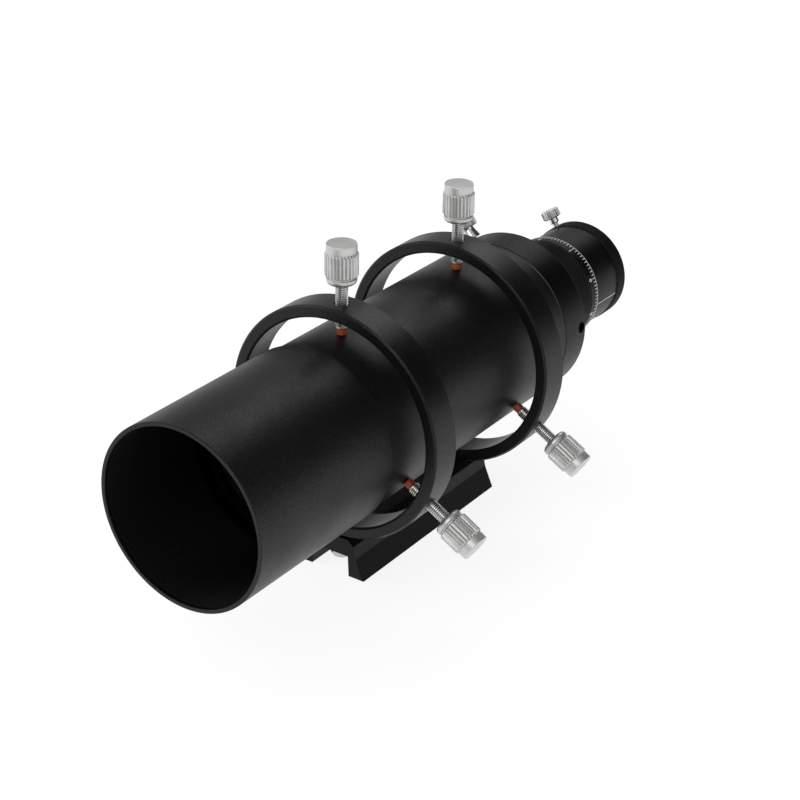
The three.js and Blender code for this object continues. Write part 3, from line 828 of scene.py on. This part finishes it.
# %% Six thumbscrews
grip_columns = fluted_columns(KNOB_FLUTES, 0.23, 0.06)
for end in ("front", "rear"):
    for side in SIDES_OF_RING:
        prefix = f"{end}_{side}"
        space = screw_space(prefix + "_screw_turn")
        pad_start, pad_end = along_screw(prefix + "_pad", space)
        stem_start, stem_end = along_screw(prefix + "_stem", space)
        knob_start, knob_end = along_screw(prefix + "_knob", space)
        pad_corners = [(pad_start, 0), (pad_start, PAD_RADIUS), (pad_end, PAD_RADIUS), (pad_end, 0)]
        pad_mesh = spin(ease(pad_corners, 0.35, 4), even_columns(SMALL), closed=False)
        settle(place(prefix + "_nylon_tip", pad_mesh, space, orange_nylon), prefix + "_pad")
        stem = threaded_rod(prefix + "_threaded_stem", STEM_RADIUS, M5_PITCH, stem_start, stem_end, space,
                            thread_steel)
        settle(stem, prefix + "_stem", sharp=50)
        knob_mesh = spin(knob_rows(knob_start, knob_end), grip_columns, closed=False)
        knob = place(prefix + "_fluted_knob", knob_mesh, space, satin_silver)
        cut_away(knob, drill(KNOB_BORE, knob_start - 1, stem_end + 0.3), space)
        settle(knob, prefix + "_knob")

# %% [markdown]
# ## Rear adapter
# The adapter screws into the back of the tube and carries the focuser. A thin bright line, a painted highlight
# round the seam, shows where it meets the tube, and three screws spaced round its back hold the focuser's
# barrel: one is a thumbscrew that also locks the focus, and two are small socket screws sunk in their holes.

# %% Adapter and its socket screws
plate_start, plate_end, plate_radius = (v / MM for v in span("rear_adapter"))
SPIGOT, SHELL, PLATE, SEAM = 34.4, 32.2, 222.0, 212.8
barrel_start, barrel_end, barrel_radius = (v / MM for v in span("focuser_barrel"))
adapter = scope_piece("tube_adapter", [
    (plate_end - 1.2, plate_radius), (plate_end - 0.3, plate_radius - 0.35), (plate_end, plate_radius - 1.2),
    (plate_end, barrel_radius + 0.3), (PLATE, barrel_radius + 0.3), (PLATE, SHELL), (plate_start, SHELL),
    (plate_start, SPIGOT), (SEAM, SPIGOT), (SEAM, plate_radius - 0.5), (SEAM + 0.5, plate_radius),
], rear_black_painted_shade, easing=0.3)
lock_space = screw_space("focus_lock_turn")
CLAMP_TURN, CLAMP_HOLE = math.radians(120), 2.35
GRUB_RADIUS, GRUB_LENGTH, GRUB_KEY = 2.0, 8, 1.0
to_axis, from_axis = Matrix.Translation(AXIS), Matrix.Translation(-AXIS)
for k in range(3):
    space = to_axis @ Matrix.Rotation(k * CLAMP_TURN, 4, "Y") @ from_axis @ lock_space
    cut_away(adapter, drill(CLAMP_HOLE, barrel_radius - 1, plate_radius, mouth=plate_radius - 0.3), space)
# Painted highlight: the band round the seam gets the lighter, shinier black.
second_finish(adapter, painted_seam_highlight,
              lambda station, radius: SEAM - 0.1 < station < SEAM + 0.3 and radius > plate_radius - 0.5)
second_finish(adapter, matte_black, lambda station, radius: station > plate_end - 1.4)
settle(adapter, "rear_adapter")

for node in ("barrel_set_screw_right", "barrel_set_screw_left"):
    low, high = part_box(node)
    outward = (low + high) / 2 - AXIS
    outward.y = 0
    space = radial_space(outward.normalized(), (low.y + high.y) / 2)
    tip, top = barrel_radius + 0.3, barrel_radius + 0.3 + GRUB_LENGTH
    grub = threaded_rod(node + "_thread", GRUB_RADIUS, M4_PITCH, tip, top, space, bolt_steel)
    cut_away(grub, hex_key(top - 2, top + 1, GRUB_KEY), space)
    settle(grub, node, sharp=50)

# %% [markdown]
# ## Focus ring
# The ring is knurled for grip. A knurling wheel rolls two sets of crossing grooves into the metal and
# leaves small pyramids. Here the points of the mesh stand in a checkerboard of peaks and crossings, and
# each square is split along the groove, so two triangles of four squares make one pyramid.

# %% Knurled ring
focus_start, focus_end, knurl_radius = (v / MM for v in span("focus_ring"))
holder_start, holder_end, flange_radius = (v / MM for v in span("eyepiece_holder"))
SCALE_START, SCALE_RADIUS, RING_FLANGE, HOLDER_RADIUS = 258.4, 24.0, 235.0, 22.9
KNURL_STEP, KNURL_COLUMNS = 0.6, 252

nose = ease([(focus_start, barrel_radius + 0.3), (focus_start, knurl_radius - 0.75),
             (focus_start + 0.5, knurl_radius - 0.25)], 0.2, closed=False)
knurl_at, knurl = focus_start + 0.8, []
while knurl_at < SCALE_START - 0.5:
    knurl.append(Vector((knurl_at, knurl_radius, knurl_radius)))
    knurl_at += KNURL_STEP
tail = ease([(SCALE_START - 0.3, SCALE_RADIUS - 0.2), (SCALE_START, SCALE_RADIUS - 0.2),
             (SCALE_START + 0.15, SCALE_RADIUS), (focus_end - 0.35, SCALE_RADIUS),
             (focus_end, SCALE_RADIUS - 0.35), (focus_end, HOLDER_RADIUS + 0.3),
             (RING_FLANGE, HOLDER_RADIUS + 0.3), (RING_FLANGE, barrel_radius + 0.3)], 0.12, closed=False)
knurl_rows = range(len(nose), len(nose) + len(knurl))
ring_mesh = spin([*nose, *knurl, *tail], even_columns(KNURL_COLUMNS), split=knurl_rows)
focus_ring = place("knurled_focus_ring", ring_mesh, SCOPE_SPACE, rear_black_painted_shade)
settle(focus_ring, "focus_ring", sharp=25)

# %% [markdown]
# ## Scale and index line
# White ink shows how far the ring has turned: a line round the edge, a tick every 4 degrees and a number
# every tenth tick, read from behind. Each mark is a thin slab of ink bent round the ring, so that it stays
# crisp from any angle. The index line is printed on the part that slides and does not turn.

# %% Ink
INK_ABOVE, INK_BELOW = 0.025, 0.05
TICK_WIDTH, TICK_TURN, TICK_COUNT, NUMBER_ANGLE, NUMBER_EVERY = 0.36, 4, 90, 24.6, 10
LONG_TICK, SHORT_TICK = 2.3, 1.9


def slab(made, across, width, start, end):
    """A mark of ink lying flat: X round the ring, Y along it, Z out of it, in mm."""
    corners = [made.verts.new((across + side * width / 2, at, height))
               for height in (-INK_BELOW, INK_ABOVE)
               for side, at in ((-1, start), (1, start), (1, end), (-1, end))]
    for loop in ((0, 1, 2, 3), (4, 5, 6, 7), (0, 1, 5, 4), (1, 2, 6, 5), (2, 3, 7, 6), (3, 0, 4, 7)):
        made.faces.new([corners[i] for i in loop])


def bend_round(name, made, radius, body):
    """Bend flat ink round the optical axis and let it ride on a body."""
    for vertex in made.verts:
        angle, out = vertex.co.x / radius, radius + vertex.co.z
        vertex.co = Vector((out * math.cos(angle), vertex.co.y, out * math.sin(angle))) * MM
    piece = place(name, made, Matrix.Translation(AXIS), ink_white)
    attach(piece, body)
    print(name, "faces:", len(piece.data.polygons))


ticks = bmesh.new()
line_at = focus_end - 0.5
for i in range(TICK_COUNT):
    across = math.radians(NUMBER_ANGLE + i * TICK_TURN) * SCALE_RADIUS
    length = LONG_TICK if i % NUMBER_EVERY == 0 else SHORT_TICK
    slab(ticks, across, TICK_WIDTH, line_at - length, line_at)
bend_round("focus_scale_ticks", ticks, SCALE_RADIUS, "focus_ring")

edge_line = place("focus_scale_line", spin([
    (line_at - 0.1, SCALE_RADIUS - INK_BELOW, 0), (line_at - 0.1, SCALE_RADIUS + INK_ABOVE, 0),
    (line_at + 0.16, SCALE_RADIUS + INK_ABOVE, 0), (line_at + 0.16, SCALE_RADIUS - INK_BELOW, 0),
], even_columns(FINE)), SCOPE_SPACE, ink_white)
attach(edge_line, "focus_ring")

# %% Numbers
NUMBER_SIZE, NUMBER_BASE = 2.8, 2.9
numbers = bmesh.new()
for digit in range(TICK_COUNT // NUMBER_EVERY):
    letters = bpy.data.curves.new("digit", "FONT")
    letters.body, letters.size, letters.align_x = str(digit), NUMBER_SIZE, "CENTER"
    letters.extrude, letters.resolution_u, letters.offset = (INK_ABOVE + INK_BELOW) / 2, 4, 0.07
    holder = bpy.data.objects.new("digit", letters)
    bpy.context.scene.collection.objects.link(holder)
    bpy.context.view_layer.update()
    shape = bpy.data.meshes.new_from_object(holder.evaluated_get(bpy.context.evaluated_depsgraph_get()))
    across = math.radians(NUMBER_ANGLE + digit * NUMBER_EVERY * TICK_TURN) * SCALE_RADIUS
    for vertex in shape.vertices:
        x, y, z = vertex.co
        vertex.co = (across + x, line_at - NUMBER_BASE - y, z - (INK_BELOW - INK_ABOVE) / 2)
    numbers.from_mesh(shape)
    bpy.data.objects.remove(holder)
    bpy.data.meshes.remove(shape)
bmesh.ops.remove_doubles(numbers, verts=numbers.verts, dist=1e-4)
bend_round("focus_scale_numbers", numbers, SCALE_RADIUS, "focus_ring")

# %% Index line
INDEX_ANGLE, INDEX_WIDTH, FLANGE_START = -10.5, 0.38, 283.6
index = bmesh.new()
slab(index, math.radians(INDEX_ANGLE) * HOLDER_RADIUS, INDEX_WIDTH, focus_end - 4, FLANGE_START - 0.4)
bend_round("focus_index_line", index, HOLDER_RADIUS, "eyepiece_holder")

# %% [markdown]
# ## Eyepiece holder and the pieces inside
# The holder slides on the fixed barrel: a pin in a slot keeps it from turning, so it moves in and out as
# the ring turns. Its rear flange has a socket with a brass ring that a small thumbscrew squeezes round the
# eyepiece's barrel.

# %% Holder
SLEEVE, SLEEVE_START, WEB, TUBE_OUT, TUBE_IN = 19.6, 247.0, 268.0, 17.3, 15.95
GROOVE_START, GROOVE_END, GROOVE_DEPTH = 284.4, 288.4, 17.5
PIN_RADIUS, BARREL_BORE = 1.35, 17.65
holder_piece = scope_piece("sliding_eyepiece_holder", [
    (holder_end - 0.5, flange_radius), (holder_end, flange_radius - 0.5), (holder_end, TUBE_IN + 3.4),
    (holder_end - 0.12, TUBE_IN + 3.2), (holder_end - 0.12, TUBE_IN + 2.9), (holder_end, TUBE_IN + 2.7),
    (holder_end, TUBE_IN + 0.6), (holder_end - 0.6, TUBE_IN), (GROOVE_END, TUBE_IN),
    (GROOVE_END, GROOVE_DEPTH), (GROOVE_START, GROOVE_DEPTH), (GROOVE_START, TUBE_IN),
    (holder_start, TUBE_IN), (holder_start, TUBE_OUT), (WEB, TUBE_OUT), (WEB, SLEEVE),
    (SLEEVE_START, SLEEVE), (SLEEVE_START, HOLDER_RADIUS),
    (FLANGE_START, HOLDER_RADIUS), (FLANGE_START + 0.35, flange_radius),
], rear_black_painted_shade, easing=0.15)
pin_low, pin_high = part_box("guide_pin")
pin_space = radial_space(Vector((0, 0, -1)), (pin_low.y + pin_high.y) / 2)
cut_away(holder_piece, drill(1.7, SLEEVE - 1, HOLDER_RADIUS + 1), pin_space)
eyepiece_space = screw_space("eyepiece_lock_turn")
cut_away(holder_piece, drill(1.8, GROOVE_DEPTH - 0.6, flange_radius + 1, mouth=flange_radius - 0.3),
         eyepiece_space)
second_finish(holder_piece, matte_black,
              lambda station, radius: station > FLANGE_START + 0.2 and radius > HOLDER_RADIUS - 0.5)
settle(holder_piece, "eyepiece_holder")

# %% Brass ring, pin, barrel and snap ring
squeeze_start, squeeze_end, squeeze_radius = (v / MM for v in span("compression_ring"))
squeeze = scope_piece("brass_squeeze_ring", [
    (squeeze_start, squeeze_radius), (squeeze_end, squeeze_radius), (squeeze_end, TUBE_IN + 0.25),
    (squeeze_start, TUBE_IN + 0.25)], brass, easing=0.15)
cut_away(squeeze, block((0, squeeze_radius, squeeze_start + 2), (1.5, 6, 8)), SCOPE_SPACE)
settle(squeeze, "compression_ring")

pin_top, pin_foot = (AXIS.z - pin_high.z) / MM, (AXIS.z - pin_low.z) / MM
pin_rows = ease([(pin_top, 0), (pin_top, PIN_RADIUS), (pin_foot, PIN_RADIUS), (pin_foot, 0)], 0.3)
pin = place("slot_pin", spin(pin_rows, even_columns(SMALL), closed=False), pin_space, bolt_steel)
settle(pin, "guide_pin")

barrel = scope_piece("fixed_barrel", [
    (barrel_end, barrel_radius), (barrel_end, BARREL_BORE), (barrel_start, BARREL_BORE),
    (barrel_start, barrel_radius),
], inside_black, easing=0.2)
cut_away(barrel, block((0, barrel_radius - 1, barrel_end - 9), (3.6, 6, 20)), SCOPE_SPACE)
cut_away(barrel, drill(2.0, 15, barrel_radius + 2), lock_space)
settle(barrel, "focuser_barrel")

clip_start, clip_end, clip_radius = (v / MM for v in span("focus_ring_clip"))
clip = scope_piece("snap_ring", [
    (clip_start, clip_radius), (clip_end, clip_radius), (clip_end, barrel_radius + 0.3),
    (clip_start, barrel_radius + 0.3)], bolt_steel, easing=0.15)
cut_away(clip, block((0, barrel_radius, clip_start), (5, 8, 6)), SCOPE_SPACE)
settle(clip, "focus_ring_clip")

# %% [markdown]
# ## Lock screws
# Two chromed thumbscrews stand at the back: one locks the focus, the other clamps the eyepiece. Their heads
# have a fine straight knurl with turned-down edges, and the larger one stands on a neck that widens
# towards its base.


# %% Lock screws
def knurled_head(start, end, radius, foot, flutes, depth=0.42):
    """A head with a straight knurl. The foot is the neck below it, as (distance, radius)."""
    neck = ease([(foot[0][0], 0), *foot, (start, foot[-1][1]), (start, radius - 0.7)], 0.15, closed=False)
    head = [Vector(row) for row in (
        (start + 0.12, radius - 0.45, radius - depth - 0.25), (start + 0.5, radius, radius - depth),
        (end - 0.5, radius, radius - depth), (end - 0.12, radius - 0.45, radius - depth - 0.25))]
    top = ease([(end, radius - 0.75), (end, radius * 0.5), (end - 0.12, radius * 0.45), (end - 0.12, 0)], 0.2,
               closed=False)
    return spin([*neck, *head, *top], fluted_columns(flutes, 0.34), closed=False)


def lock_tip(name, radius, start, end, space):
    rows = ease([(start, 0), (start, radius), (end, radius), (end, 0)], 0.2)
    piece = place(name + "_soft_tip", spin(rows, even_columns(SMALL), closed=False), space, white_nylon)
    settle(piece, name + "_pad")


lock_tip("focus_lock", 1.6, TUBE_OUT + 0.3, TUBE_OUT + 1.9, lock_space)
lock_shank = threaded_rod("focus_lock_thread", 2.0, M4_PITCH, TUBE_OUT + 2.2, plate_radius + 0.8, lock_space,
                          chrome)
settle(lock_shank, "focus_lock_screw", sharp=50)
lock_foot = [(plate_radius + 0.5, 3.9), (plate_radius + 0.9, 4.1), (41.6, 2.9)]
lock_mesh = knurled_head(42.6, 47.0, 5.2, lock_foot, 36)
settle(place("focus_lock_head", lock_mesh, lock_space, chrome), "focus_lock_screw")

lock_tip("eyepiece_lock", 1.2, GROOVE_DEPTH, GROOVE_DEPTH + 1.2, eyepiece_space)
clamp_shank = threaded_rod("eyepiece_lock_thread", 1.5, M3_PITCH, GROOVE_DEPTH + 1.5, 25.3, eyepiece_space,
                           chrome)
settle(clamp_shank, "eyepiece_lock_screw", sharp=50)
clamp_foot = [(25.1, 2.1), (25.5, 2.3), (27.2, 2.3)]
clamp_mesh = knurled_head(27.6, 32.0, 4.4, clamp_foot, 32)
settle(place("eyepiece_lock_head", clamp_mesh, eyepiece_space, chrome), "eyepiece_lock_screw")

# %% [markdown]
# ## The size of the dressed model
# The dressed model must stay inside the mechanical one, give or take the grain of a surface. Its box is
# printed here, as the mechanical one's was at the start.

low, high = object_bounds()
print("visual box in mm:", [round(v / MM, 1) for v in high - low])
